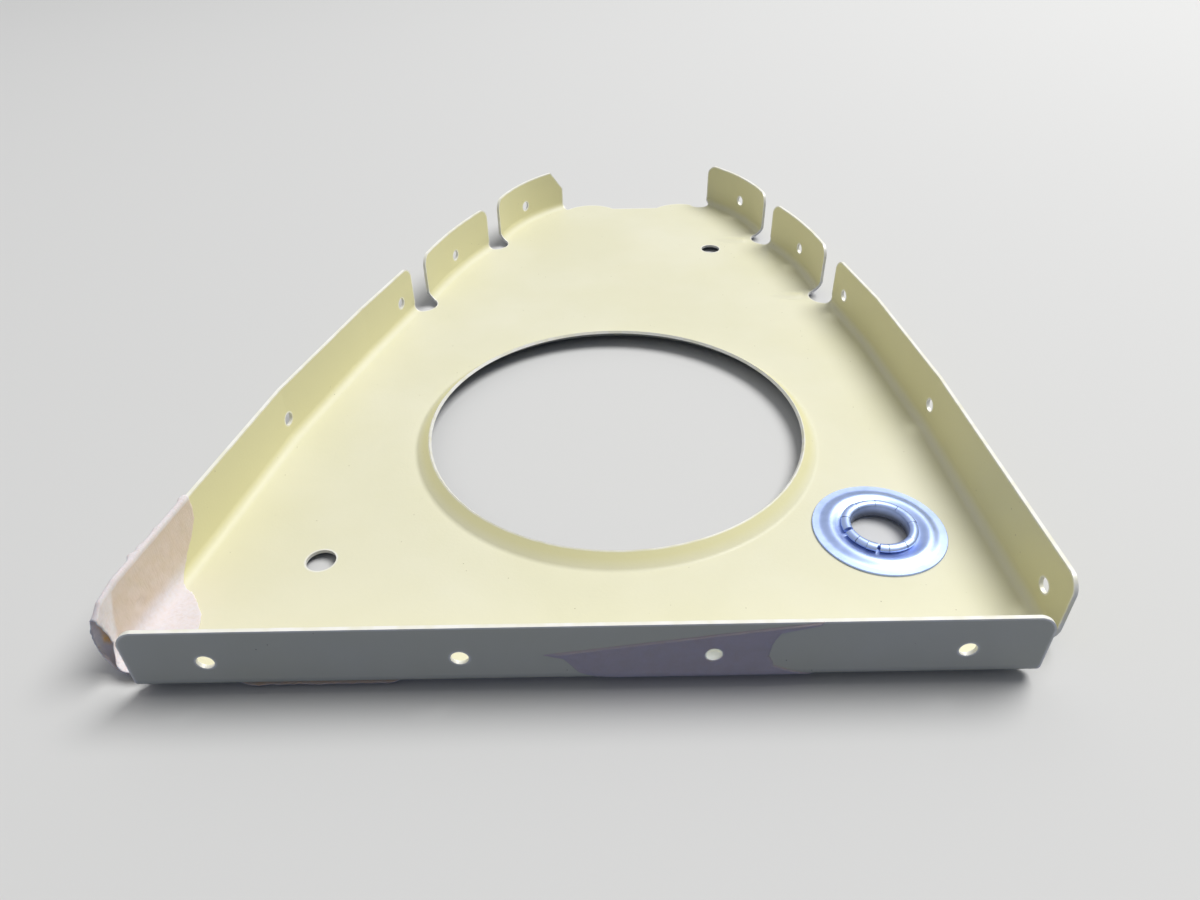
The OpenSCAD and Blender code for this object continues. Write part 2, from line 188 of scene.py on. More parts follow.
def math_of(tree, operation, a, b):
    return add_node(tree, "ShaderNodeMath", {0: a, 1: b}, operation=operation).outputs[0]


def mix_colours(tree, share, first, second):
    """The Mix node has sockets per data type: 0 is the share, and 6, 7 and 2 are for colours."""
    node = add_node(tree, "ShaderNodeMix", {0: share, 6: first, 7: second}, data_type="RGBA")
    return node.outputs[2]


def bump_of(tree, height, distance, strength, under=None):
    feeds = {"Height": height, "Distance": distance, "Strength": strength}
    if under is not None:
        feeds["Normal"] = under
    return add_node(tree, "ShaderNodeBump", feeds).outputs["Normal"]


print("material helpers are ready")

# %% [markdown]
# ## The primer on the sheet
# The rib is sprayed with a pale cream-yellow primer: satin, a little uneven, with tiny dark specks
# of overspray. The walls behind the spar face are darker and yellower: painted shade.
# It could be painted on an image, but a pattern on Object coordinates has no seams
# and stays sharp at any distance. Noise scales are per metre, so 28 gives clouds of about 36 mm.

# %% Primer colours
PRIMER = (0.760, 0.740, 0.545, 1.0)
PRIMER_PALE = (0.790, 0.770, 0.595, 1.0)
PRIMER_DEEP = (0.725, 0.695, 0.480, 1.0)
# painted shade: a darker, yellower tone for the walls behind the spar face
WALL_SHADE_TONE = (0.760, 0.725, 0.430, 1.0)
PRIMER_SPECK = (0.33, 0.29, 0.16, 1.0)
CLOUDS = {"scale": 28.0, "detail": 4.0, "span": (0.38, 0.66)}
STREAKS = {"scale": 9.0, "detail": 2.0, "span": (0.52, 0.72), "high": 0.45}
WALL_SHADE_SPAN = (WEB_TOP + 0.25 * MM, WEB_TOP + 1.7 * MM)
WALL_SHADE_SHARE = 0.9
BEHIND_SPAN = (0.2 * MM, 0.6 * MM)
SPECK_CELLS = 420.0
SPECK_SPAN = (0.035, 0.075)
SPECK_SHARE = 0.8
SPECK_GROUPS = {"scale": 160.0, "detail": 1.0, "span": (0.57, 0.61)}


def primer_colour(tree, where, axes):
    colour = mix_colours(tree, patches_of(tree, where, **CLOUDS), PRIMER, PRIMER_PALE)
    colour = mix_colours(tree, patches_of(tree, where, **STREAKS), colour, PRIMER_DEEP)
    # painted shade: the walls above the web turn darker and yellower, except the spar's outer face
    wall = ramp_of(tree, axes["Z"], 0.0, WALL_SHADE_SHARE, *WALL_SHADE_SPAN)
    behind_spar = ramp_of(tree, axes["Y"], 0.0, 1.0, *BEHIND_SPAN)
    colour = mix_colours(tree, math_of(tree, "MULTIPLY", wall, behind_spar), colour, WALL_SHADE_TONE)
    cells = add_node(tree, "ShaderNodeTexVoronoi", {"Vector": where, "Scale": SPECK_CELLS})
    dots = ramp_of(tree, cells.outputs["Distance"], SPECK_SHARE, 0.0, *SPECK_SPAN)
    groups = patches_of(tree, where, **SPECK_GROUPS)
    return mix_colours(tree, math_of(tree, "MULTIPLY", dots, groups), colour, PRIMER_SPECK)


print("specks lie in cells of", round(1000 / SPECK_CELLS, 1), "mm")

# %% [markdown]
# ## Rubbed and highlighted edges
# Every sheared edge and the flanges' tops are paler: partly primer rubbed off by handling, and
# partly a painted highlight where the thin edges catch the light.
# They could be picked by hand, but an inward occlusion test finds the sheared edges: its rays are
# shorter than the sheet is thick, so on a broad face they meet nothing, and near an edge the sides.
# The sheet's long waves and the spray's orange peel are too low to model, so they are bumps.

# %% Primer material
# rubbed primer, made near white as a painted highlight on edges and tops
RUBBED_EDGE_AND_HIGHLIGHT = (0.92, 0.91, 0.86, 1.0)
EDGE_REACH = 0.85 * SHEET
EDGE_RAYS = 16
EDGE_SPAN = (0.68, 0.94)
TOP_SPAN = (FLANGE_TOP - 0.25 * MM, FLANGE_TOP - 0.05 * MM)
EDGE_PATCHES = {"scale": 240.0, "detail": 2.0, "span": (0.35, 0.60), "low": 0.6}
BARE_SHARE = 0.2
SATIN = {"scale": 60.0, "detail": 3.0, "span": (0.3, 0.7), "low": 0.38, "high": 0.52}
PRIMER_SPECULAR = 0.4
WAVE_SCALE, WAVE_H, WAVE_STRENGTH = 22.0, 0.6 * MM, 0.35
PEEL_SCALE, PEEL_H, PEEL_STRENGTH = 1500.0, 0.04 * MM, 0.5


def wear_and_highlight_edges(tree, where, axes, shader, colour):
    """Paler at edges and tops: rubbed paint with a painted highlight, and a little bare metal at
    the sheared edges.
    """
    depth = add_node(tree, "ShaderNodeAmbientOcclusion", {"Distance": EDGE_REACH},
                     samples=EDGE_RAYS, inside=True, only_local=True).outputs["AO"]
    edge = ramp_of(tree, depth, 1.0, 0.0, *EDGE_SPAN)
    top = ramp_of(tree, axes["Z"], 0.0, 1.0, *TOP_SPAN)
    bare = ramp_of(tree, math_of(tree, "SUBTRACT", edge, top), 0.0, BARE_SHARE)
    tree.links.new(bare, shader.inputs["Metallic"])
    # paler edges and tops: rubbed paint, and a painted highlight
    worn_and_highlit = math_of(tree, "MAXIMUM", edge, top)
    worn_and_highlit = math_of(tree, "MULTIPLY", worn_and_highlit, patches_of(tree, where, **EDGE_PATCHES))
    return mix_colours(tree, worn_and_highlit, colour, RUBBED_EDGE_AND_HIGHLIGHT)


def make_primer(name, edges_worn_and_highlit):
    """The rib's own primer is rubbed and carries a painted highlight at its edges. A piece set into
    the web goes without that.
    """
    material, tree, shader = start_material(name)
    where = add_node(tree, "ShaderNodeTexCoord").outputs["Object"]
    axes = add_node(tree, "ShaderNodeSeparateXYZ", {"Vector": where}).outputs
    colour = primer_colour(tree, where, axes)
    if edges_worn_and_highlit:
        colour = wear_and_highlight_edges(tree, where, axes, shader, colour)
    tree.links.new(colour, shader.inputs["Base Color"])
    tree.links.new(patches_of(tree, where, **SATIN), shader.inputs["Roughness"])
    shader.inputs["Specular IOR Level"].default_value = PRIMER_SPECULAR
    waves = bump_of(tree, noise_of(tree, where, WAVE_SCALE, 1.0), WAVE_H, WAVE_STRENGTH)
    peel = bump_of(tree, noise_of(tree, where, PEEL_SCALE, 2.0), PEEL_H, PEEL_STRENGTH, waves)
    tree.links.new(peel, shader.inputs["Normal"])
    return material


primer = make_primer("primer", True)
web_primer = make_primer("web_primer", False)
rib_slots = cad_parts["rib"].data.materials
rib_slots.clear()
rib_slots.append(primer)
print("the rib wears", primer.name)

# %% [markdown]
# ## Bright grommet metal
# The grommet is plated, with fine scuffs where the setting tool pressed it. Its blue tint is a
# painted reflection of blue surroundings.
# A metal takes its look from what it mirrors, so the recipe is mostly roughness: a middling value
# in blotches, with thin scratches. Down in the bore the colour turns dark: painted shade.

# %% Grommet material
# plating colour, tinted blue as a painted reflection of blue surroundings
PLATING_AND_BLUE_REFLECTION = (0.44, 0.54, 0.83, 1.0)
PLATING_DULL_AND_BLUE_REFLECTION = (0.36, 0.46, 0.74, 1.0)
# painted shade down in the bore
BORE_PAINTED_SHADE = (0.16, 0.18, 0.24, 1.0)
BLOTCHES = {"scale": 320.0, "detail": 4.0, "span": (0.45, 0.75)}
SCUFFS = {"scale": 700.0, "detail": 3.0, "span": (0.3, 0.75), "low": 0.42, "high": 0.50}
BORE_SPAN = (6.3 * MM, 6.6 * MM)
DEEP_SPAN = (WEB_TOP - 0.6 * MM, WEB_TOP + 0.9 * MM)
SCRATCH_TURN = 0.7
SCRATCH_SCALE = (300.0, 4200.0, 300.0)
SCRATCH_H, SCRATCH_STRENGTH = 0.02 * MM, 0.35


def down_in_the_bore(tree, where):
    """1 on the tube's inner wall below the bead, and 0 elsewhere."""
    off = add_node(tree, "ShaderNodeVectorMath", {0: where, 1: grommet_axis},
                   operation="SUBTRACT").outputs[0]
    level = add_node(tree, "ShaderNodeVectorMath", {0: off, 1: (1.0, 1.0, 0.0)},
                     operation="MULTIPLY").outputs[0]
    radius = add_node(tree, "ShaderNodeVectorMath", {0: level}, operation="LENGTH").outputs["Value"]
    height = add_node(tree, "ShaderNodeSeparateXYZ", {"Vector": where}).outputs["Z"]
    inside = ramp_of(tree, radius, 1.0, 0.0, *BORE_SPAN)
    return math_of(tree, "MULTIPLY", inside, ramp_of(tree, height, 1.0, 0.0, *DEEP_SPAN))


def make_plating():
    material, tree, shader = start_material("plating_and_blue_reflection")
    where = add_node(tree, "ShaderNodeTexCoord").outputs["Object"]
    colour = mix_colours(tree, patches_of(tree, where, **BLOTCHES), PLATING_AND_BLUE_REFLECTION, PLATING_DULL_AND_BLUE_REFLECTION)
    # painted shade: the bore's inner wall below the bead turns dark
    colour = mix_colours(tree, down_in_the_bore(tree, where), colour, BORE_PAINTED_SHADE)
    tree.links.new(colour, shader.inputs["Base Color"])
    shader.inputs["Metallic"].default_value = 1.0
    tree.links.new(patches_of(tree, where, **SCUFFS), shader.inputs["Roughness"])
    stretched = add_node(tree, "ShaderNodeMapping", {"Vector": where, "Scale": SCRATCH_SCALE,
                                                     "Rotation": (0.0, 0.0, SCRATCH_TURN)})
    scratches = noise_of(tree, stretched.outputs["Vector"], 1.0, 2.0)
    normal = bump_of(tree, scratches, SCRATCH_H, SCRATCH_STRENGTH)
    tree.links.new(normal, shader.inputs["Normal"])
    return material


plating = make_plating()
print("grommet metal:", plating.name)

# %% [markdown]
# ## From a mesh to a piece
# Every new piece is drawn in place as a mesh, so its object stays at the origin.
# It is shaded smooth except at real creases, and it rides on the rib's one body.

# %% Piece helper
METAL_CREASE = 35.0


def new_piece(name, bm, materials, crease=METAL_CREASE):
    """Makes an object of a finished mesh. Edges that turn by more than the crease stay sharp."""
    mesh = bpy.data.meshes.new(name)
    bm.to_mesh(mesh)
    bm.free()
    for material in materials:
        mesh.materials.append(material)
    mesh.shade_smooth()
    mesh.set_sharp_from_angle(angle=math.radians(crease))
    piece = bpy.data.objects.new(name, mesh)
    bpy.context.scene.collection.objects.link(piece)
    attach(piece, "root")
    print(name, "has", len(mesh.polygons), "faces")
    return piece


print("pieces keep edges sharp from", METAL_CREASE, "degrees")

# %% [markdown]
# ## Puckers beside the notches
# At the two right-hand notches the press gathered the sheet, and a low ridge runs from each one
# into the web. The CAD web is flat there, so each ridge is a thin lens set into the sheet.
# Its top rises out of the web, and its sides and base stay inside the metal. It wears the primer
# without the paler edges of rubbing and painted highlight, and as the pattern follows Object
# coordinates, no seam shows.

# %% Puckers
# name, start beside the notch in mm, heading in degrees, length and half width in mm
PUCKERS = [("pucker_nose", (59.4, 196.6), 170.3, 16.5, 3.2),
           ("pucker_middle", (70.9, 152.3), 178.0, 13.0, 3.0)]
PUCKER_GRID = (64, 24)
PUCKER_H = 0.7
# the rim lies this far below the web's face, so that the two never share a plane
PUCKER_SINK = 0.002
PUCKER_DEPTH = 0.65 * MM
CREST_AT = 0.16
MOUTH_WIDTH, MOUTH_END = 0.75, 0.3
TAPER, TAPER_START = 0.7, 0.4


def make_pucker(name, start, heading, length, half_width):
    """A ridge that is highest near the notch, and narrows and fades along its heading."""
    angle = math.radians(heading)
    forward = Vector((math.cos(angle), math.sin(angle), 0.0))
    sideways = Vector((-forward.y, forward.x, 0.0))
    bm = bmesh.new()
    bmesh.ops.create_grid(bm, x_segments=PUCKER_GRID[0], y_segments=PUCKER_GRID[1], size=1.0)
    for vert in bm.verts:
        along, across = (vert.co.x + 1) / 2, vert.co.y
        width = half_width * mix(MOUTH_WIDTH, 1.0, smooth_share(along, 0.0, MOUTH_END))
        width *= 1 - TAPER * smooth_share(along, TAPER_START, 1.0)
        crest = smooth_share(along, 0.0, CREST_AT) * (1 - smooth_share(along, CREST_AT, 1.0))
        spot = Vector((*start, 0.0)) + forward * along * length + sideways * across * width
        spot.z = PUCKER_H * crest * (1 - across ** 2) ** 2 - PUCKER_SINK
        vert.co = spot * MM + Vector((0.0, 0.0, WEB_TOP))
    piece = new_piece(name, bm, [web_primer])
    base = piece.modifiers.new("sheet_depth", "SOLIDIFY")
    base.thickness = PUCKER_DEPTH
    base.offset = -1.0


for pucker in PUCKERS:
    make_pucker(*pucker)

# %% [markdown]
# ## Turning a profile into a ring
# A grommet is turned and pressed, so a spin is the natural tool: draw half of its section,
# then sweep it round. A closed section needs no caps on a full turn.
# On a part turn the two open ends are filled afterwards.

# %% Spin helper
FULL_TURN = 2 * math.pi
FULL_STEPS = 144


def spin_loop(bm, points, start=0.0, angle=FULL_TURN, steps=FULL_STEPS):
    """Sweeps a loop of (radius, height) points about the grommet's axis, and caps a part turn."""
    verts = [bm.verts.new(grommet_axis + Vector((r, 0.0, z))) for r, z in points]
    edges = [bm.edges.new((a, b)) for a, b in zip(verts, verts[1:] + verts[:1])]
    bmesh.ops.rotate(bm, verts=verts, cent=grommet_axis, matrix=Matrix.Rotation(start, 3, "Z"))
    whole = angle == FULL_TURN
    swept = bmesh.ops.spin(bm, geom=verts + edges, cent=grommet_axis, axis=(0, 0, 1), angle=angle,
                           steps=steps, use_merge=whole, use_duplicate=False)
    if not whole:
        last = [e for e in swept["geom_last"] if isinstance(e, bmesh.types.BMEdge)]
        bmesh.ops.contextual_create(bm, geom=edges)
        bmesh.ops.contextual_create(bm, geom=last)


print("a full turn takes", FULL_STEPS, "steps")

# %% [markdown]
# ## The dished washer
# Its section is a flat seat under the bead, a rounded crown and a flat rim. The crown follows one
# cosine wave, which meets both flats without a crease, as pressed metal does.

# %% Washer
WASHER_T = 0.45 * MM
WASHER_HOLE = 6.8 * MM
CROWN_IN = 8.3 * MM
CROWN_OUT = 13.15 * MM
CROWN_H = 0.65 * MM
CROWN_STEPS = 28
RIM_ROUND = 0.12 * MM
washer_r = (washer_high.x - washer_low.x) / 2
washer_foot = washer_low.z


def crown_line(lift):
    shares = [i / CROWN_STEPS for i in range(CROWN_STEPS + 1)]
    return [(mix(CROWN_IN, CROWN_OUT, s),
             washer_foot + lift + CROWN_H * (1 - math.cos(FULL_TURN * s)) / 2) for s in shares]


def make_washer():
    bm = bmesh.new()
    rim = [(washer_r, washer_foot), (washer_r, washer_foot + WASHER_T - RIM_ROUND),
           (washer_r - RIM_ROUND, washer_foot + WASHER_T)]
    under = [(WASHER_HOLE, washer_foot)] + crown_line(0.0)
    over = crown_line(WASHER_T)[::-1] + [(WASHER_HOLE, washer_foot + WASHER_T)]
    spin_loop(bm, under + rim + over)
    bmesh.ops.recalc_face_normals(bm, faces=bm.faces[:])
    piece = new_piece("washer", bm, [plating])
    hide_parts("grommet_washer")


make_washer()

# %% [markdown]
# ## The eyelet and its split bead
# The eyelet's tube passes up through the web and is rolled over the washer. The thin metal splits
# as it rolls: two splits gape, and several are only hairlines. So the tube and foot are one full
# spin, and the bead is spun petal by petal, with a gap left at each split.

# %% Eyelet
BORE_R = 6.2 * MM
EYELET_T = 0.45 * MM
BEAD_W = 2.25 * MM
BEAD_H = 1.6 * MM
BEAD_SIDES = 24
BEAD_MID = eyelet_top - BEAD_H / 2
FOOT_R = 13.5 * MM
FOOT_FLAT_R = 8.65 * MM
FOOT_DISH = 1.0 * MM
SQUASH_IN = 0.12 * MM
SQUASH_DOWN = 0.18 * MM
OUTER_SPAN = (-0.2, 1.0)
# petals lean by turns, and are spun in steps of so many degrees
LEAN_STEP = 2.3
PETAL_STEP = 2.5
PETAL_LEAST = 4
# place of each split round the bead, and its width, in degrees
SPLITS = [(-167, 6.5), (-143, 0.9), (-125, 0.7), (-107, 5.0), (-91, 0.8), (-61, 1.0), (-42, 0.8),
          (2, 0.7), (44, 1.0), (84, 0.7), (121, 0.8), (162, 1.1)]


def bead_points(squash):
    """Section of the rolled bead: a flattened round, with its outer side squashed in and down."""
    points = []
    for i in range(BEAD_SIDES):
        angle = FULL_TURN * i / BEAD_SIDES
        c, s = math.cos(angle), math.sin(angle)
        outer = squash * smooth_share(c, *OUTER_SPAN)
        points.append((BORE_R + BEAD_W / 2 * (1 + c) - outer * SQUASH_IN,
                       BEAD_MID + BEAD_H / 2 * s - outer * max(0.0, s) * SQUASH_DOWN))
    return points


def make_eyelet():
    bm = bmesh.new()
    outer = BORE_R + EYELET_T
    spin_loop(bm, [(BORE_R, BEAD_MID), (BORE_R, WEB_UNDER - EYELET_T),
                   (FOOT_FLAT_R, WEB_UNDER - EYELET_T), (FOOT_R, WEB_UNDER - FOOT_DISH - EYELET_T),
                   (FOOT_R, WEB_UNDER - FOOT_DISH), (FOOT_FLAT_R, WEB_UNDER),
                   (outer, WEB_UNDER), (outer, BEAD_MID)])
    splits = [(math.radians(at), math.radians(gap)) for at, gap in SPLITS]
    splits.append((math.radians(SPLITS[0][0] + 360), splits[0][1]))
    for i, ((at, gap), (next_at, next_gap)) in enumerate(zip(splits, splits[1:])):
        start = at + gap / 2
        angle = next_at - next_gap / 2 - start
        steps = max(PETAL_LEAST, int(math.degrees(angle) / PETAL_STEP))
        spin_loop(bm, bead_points(0.5 + 0.5 * math.sin(LEAN_STEP * i)), start, angle, steps)
    bmesh.ops.recalc_face_normals(bm, faces=bm.faces[:])
    piece = new_piece("eyelet", bm, [plating])
    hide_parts("grommet_eyelet")


make_eyelet()

# %% [markdown]
# ## Paper tape
# Masking tape is thin creped paper: matt, pinkish beige, and whiter where it is folded.
# Its fine ridges run across the tape, so they follow the tape's own flat coordinates, which each
# piece keeps in its UV map in millimetres. A float attribute, whiten, mixes in a pale lilac white.
# On the fold's top this is partly the fold and partly painted light, and low on the inside, where
# the paper faces the lamp, it is painted light. On the outer layer a little of it is a painted blue
# reflection. A value past 1 marks paper with an open hole behind it, where more light comes
# through;
# there the paper is also painted white, which is painted light.
# The gummed side is pale, and amber where another attribute says that gum is left. On the outer
# layer of the corner tape an amber strip is painted bright: gum, with painted light through the
# paper.

# %% Paper helpers
CREPE_SCALE = (0.55, 3.2, 1.0)
CREPE_H = 0.12 * MM
FIBRE_SCALE, FIBRE_H = 9.0, 0.03 * MM
LIGHT_WEIGHT = 0.7
LIGHT_RADIUS = (0.7, 0.9, 1.0)
PAPER_DEPTH = 0.7 * MM


def crepe_normal(tree, strength):
    """The tape's flat coordinates, and a normal with its ridges and fibres."""
    flat = add_node(tree, "ShaderNodeUVMap", uv_map="flat").outputs["UV"]
    across = add_node(tree, "ShaderNodeMapping", {"Vector": flat, "Scale": CREPE_SCALE})
    ridges = noise_of(tree, across.outputs["Vector"], 1.0, 3.0, 0.6)
    coarse = bump_of(tree, ridges, CREPE_H, strength)
    return flat, bump_of(tree, noise_of(tree, flat, FIBRE_SCALE, 2.0), FIBRE_H, strength, coarse)


def let_light_through(shader):
    shader.inputs["Subsurface Weight"].default_value = LIGHT_WEIGHT
    shader.inputs["Subsurface Radius"].default_value = LIGHT_RADIUS
    shader.inputs["Subsurface Scale"].default_value = PAPER_DEPTH


print("light goes about", round(PAPER_DEPTH / MM, 1), "mm into the paper")

# %% Tape materials
PAPER = (0.720, 0.600, 0.505, 1.0)
PAPER_PINK = (0.755, 0.635, 0.570, 1.0)
PAPER_WHITE = (0.875, 0.840, 0.920, 1.0)
PAPER_TONE = {"scale": 0.35, "detail": 3.0, "span": (0.35, 0.65)}
PAPER_MOTTLE = {"scale": 1.1, "detail": 3.0, "span": (0.3, 0.7), "low": 0.75, "high": 1.15}
PAPER_MATT = {"scale": 2.0, "detail": 2.0, "span": (0.0, 1.0), "low": 0.78, "high": 0.92}
PAPER_SPECULAR = 0.25
PAPER_CREPE, GUM_CREPE = 0.55, 0.4
HOLE_SPAN = (1.0, 1.5)
HOLE_DEPTH = 4.0 * MM
# gum colour, made bright as painted light coming through the paper
GUM_PAINTED_BRIGHT = (0.930, 0.560, 0.200, 1.0)
GUM_PALE = (0.740, 0.680, 0.690, 1.0)
GUM_PATCHES = {"scale": 0.5, "detail": 3.0, "span": (0.4, 0.6), "low": 0.6, "high": 1.1}
GUM_MATT, GUM_SHINY = 0.6, 0.35


def make_paper():
    material, tree, shader = start_material("creped_paper")
    flat, normal = crepe_normal(tree, PAPER_CREPE)
    colour = mix_colours(tree, patches_of(tree, flat, **PAPER_TONE), PAPER, PAPER_PINK)
    whiten = add_node(tree, "ShaderNodeAttribute", attribute_name="whiten").outputs["Fac"]
    # whiten mixes in the lilac white: folds, painted light and painted reflection
    white = math_of(tree, "MULTIPLY", whiten, patches_of(tree, flat, **PAPER_MOTTLE))
    tree.links.new(mix_colours(tree, white, colour, PAPER_WHITE), shader.inputs["Base Color"])
    tree.links.new(patches_of(tree, flat, **PAPER_MATT), shader.inputs["Roughness"])
    shader.inputs["Specular IOR Level"].default_value = PAPER_SPECULAR
    let_light_through(shader)
    weight = ramp_of(tree, whiten, LIGHT_WEIGHT, 1.0, *HOLE_SPAN)
    tree.links.new(weight, shader.inputs["Subsurface Weight"])
    depth = ramp_of(tree, whiten, PAPER_DEPTH, HOLE_DEPTH, *HOLE_SPAN)
    tree.links.new(depth, shader.inputs["Subsurface Scale"])
    tree.links.new(normal, shader.inputs["Normal"])
    return material


def make_gum():
    material, tree, shader = start_material("gummed_side")
    flat, normal = crepe_normal(tree, GUM_CREPE)
    gum_and_backlight = add_node(tree, "ShaderNodeAttribute", attribute_name="gum_and_backlight").outputs["Fac"]
    # amber gum, and the bright strip of painted light on the outer layer
    amber_gum_and_light = math_of(tree, "MULTIPLY", gum_and_backlight, patches_of(tree, flat, **GUM_PATCHES))
    tree.links.new(mix_colours(tree, amber_gum_and_light, GUM_PALE, GUM_PAINTED_BRIGHT), shader.inputs["Base Color"])
    tree.links.new(ramp_of(tree, amber_gum_and_light, GUM_MATT, GUM_SHINY), shader.inputs["Roughness"])
    let_light_through(shader)
    tree.links.new(normal, shader.inputs["Normal"])
    return material


paper = make_paper()
gum = make_gum()
print("tape materials:", paper.name, "and", gum.name)

# %% [markdown]
# ## Folding a flat grid
# A torn strip could be sculpted, but tape is a flat sheet that has been bent, so it is made the
# same way: a flat grid whose points are carried to the fold by a small function. The function gets
# two shares, across and along the tape. It answers with a place, the flat position in millimetres,
# how white the paper is, and how much gum is left on it.
# A Solidify modifier then gives the paper its thickness, with the gummed side as second material.

# %% Sheet helper
PAPER_T = 0.16 * MM
PAPER_CREASE = 60.0
# a torn edge: waves per mm of its wander and its fray, and the share of each
WANDER, WANDER_SHARE = 0.35, 0.7
FRAY, FRAY_SHARE, FRAY_LAYER = 2.1, 0.5, 5.0


def fold_grid(bm, across_count, along_count, place):
    """Carries a flat grid to its fold, and turns its faces so that the paper side is outwards."""
    flat_layer = bm.loops.layers.uv.get("flat") or bm.loops.layers.uv.new("flat")
    white_layer = bm.verts.layers.float.get("whiten") or bm.verts.layers.float.new("whiten")
    glue_layer = bm.verts.layers.float.get("gum_and_backlight") or bm.verts.layers.float.new("gum_and_backlight")
    made = bmesh.ops.create_grid(bm, x_segments=across_count, y_segments=along_count, size=1.0)
    verts = made["verts"]
    low = min(v.co.x for v in verts), min(v.co.y for v in verts)
    high = max(v.co.x for v in verts), max(v.co.y for v in verts)
    for vert in verts:
        across = (vert.co.x - low[0]) / (high[0] - low[0])
        along = (vert.co.y - low[1]) / (high[1] - low[1])
        vert.co, flat, vert[white_layer], vert[glue_layer] = place(across, along)
        for loop in vert.link_loops:
            loop[flat_layer].uv = flat
    faces = {face for vert in verts for face in vert.link_faces}
    bmesh.ops.reverse_faces(bm, faces=list(faces))


def paper_piece(name, bm, node_name):
    piece = new_piece(name, bm, [paper, gum], PAPER_CREASE)
    wall = piece.modifiers.new("paper_thickness", "SOLIDIFY")
    wall.thickness = PAPER_T
    wall.offset = -1.0
    wall.material_offset = 1
    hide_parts(node_name)


def ragged(position, size, seed):
    """A torn paper edge: a coarse wander and a fine fray."""
    coarse = noise.noise(Vector((position * WANDER, seed, 0.0)))
    fine = noise.noise(Vector((position * FRAY, seed, FRAY_LAYER)))
    return size * (WANDER_SHARE * coarse + FRAY_SHARE * fine)


print("paper is", round(PAPER_T / MM, 2), "mm thick")

# %% [markdown]
# ## The tape over the left front corner
# One strip is folded over the left flange at its front end, as a bookmark folds over a page.
# Inside, it runs down the wall and out over the web, where it ends in a torn curve. Past the
# flange's end nothing holds it, so the fold sags, and the outer layer stands away and leaves
# a pocket that opens towards the spar. From here on, places on the tape are in millimetres:
# w goes inwards from the flange's outer face, z up from the web's underside, s along the flange.

# %% Section of the corner tape
CORNER_AT = Vector((-89.2, 8.2, 0.0))
CORNER_ALONG = Vector((0.1822, 0.9833, 0.0))
CORNER_IN = Vector((0.9833, -0.1822, 0.0))
FOOT_W = 12.2
UNDER_W = 5.0
LIFT_MM = 0.22
SHEET_MM = SHEET / MM
BEND_MM = BEND_OUT / MM
TOP_MM = FLANGE_H / MM
ARC_STEPS = 8


def arc_points(centre, radius, start, end):
    angles = [math.radians(mix(start, end, i / ARC_STEPS)) for i in range(ARC_STEPS + 1)]
    return [(centre[0] + radius * math.cos(a), centre[1] + radius * math.sin(a)) for a in angles]


bend_mid = (BEND_MM, BEND_MM)
fold_mid = (SHEET_MM / 2, TOP_MM)
corner_line = [(FOOT_W, SHEET_MM + LIFT_MM)]
corner_line += arc_points(bend_mid, BEND_MM - SHEET_MM - LIFT_MM, 270, 180)
corner_line += arc_points(fold_mid, SHEET_MM / 2 + LIFT_MM, 0, 180)
corner_line += arc_points(bend_mid, BEND_MM + LIFT_MM, 180, 270)
corner_line += [(BEND_MM + UNDER_W, -LIFT_MM)]
fold_number = 1 + (ARC_STEPS + 1) + ARC_STEPS // 2

corner_lengths = [0.0]
for (w0, z0), (w1, z1) in zip(corner_line, corner_line[1:]):
    corner_lengths.append(corner_lengths[-1] + math.hypot(w1 - w0, z1 - z0))
corner_w = [(d, w) for d, (w, z) in zip(corner_lengths, corner_line)]
corner_z = [(d, z) for d, (w, z) in zip(corner_lengths, corner_line)]
corner_fold = (corner_lengths[fold_number - 1] + corner_lengths[fold_number]) / 2
print("the corner strip is", round(corner_lengths[-1], 1), "mm across, and folds at",
      round(corner_fold, 1), "mm")

# %% [markdown]
# ## Torn edges of the corner tape
# The outlines are short lists of given points, and a little noise frays them.
# Each list says where along the flange the paper ends.

# %% Edges of the corner tape
# distance across the strip, and s of the torn far edge there
FAR_EDGE = [(0.0, -1.0), (0.3, 3.0), (1.0, 7.1), (1.7, 9.4), (2.8, 11.8), (4.9, 14.2),
            (7.5, 16.5), (9.4, 17.6), (10.6, 18.4), (12.0, 20.6), (13.1, 21.7), (14.9, 23.3),
            (17.0, 26.1), (19.9, 28.7), (22.5, 29.3), (26.0, 29.3), (33.0, 28.2), (40.0, 25.5),
            (50.0, 21.0)]
# height z, and s of the near edge there, on either side of the flange
NEAR_INSIDE = [(0.8, -4.2), (1.9, -3.6), (4.0, -2.4), (6.2, -1.6), (9.9, -1.9), (13.1, -2.4),
               (15.8, -2.9)]
NEAR_OUTSIDE = [(-0.2, -3.7), (0.6, -3.4), (1.6, -2.9), (4.7, -2.6), (8.2, -2.4), (14.0, -2.2),
                (15.8, -2.9)]
CORNER_FRAY, CORNER_SEED = 0.5, 1.0
# the foot stops at this y, clear of the spar flange and its bend
SPAR_CLEAR = 3.4


def corner_reach(distance, along, w, z, inside, on_foot):
    """s of a point that lies a share of the way from the near edge to the far edge."""
    near = along_points(NEAR_INSIDE if inside else NEAR_OUTSIDE, z)
    if on_foot:
        near = max(near, (SPAR_CLEAR - CORNER_AT.y - CORNER_IN.y * w) / CORNER_ALONG.y)
    far = along_points(FAR_EDGE, distance) + ragged(distance, CORNER_FRAY, CORNER_SEED)
    return mix(near, far, along)


print("the corner strip's far edge has", len(FAR_EDGE), "points")

# %% [markdown]
# ## Sag, pocket and creases
# Where the paper is held it only crumples a little, and past the flange's end it hangs loose.
# It is white along the crease. On the fold's top the white is partly the fold and partly painted
# light, and low on the inside, where the paper faces the lamp, it is painted light.

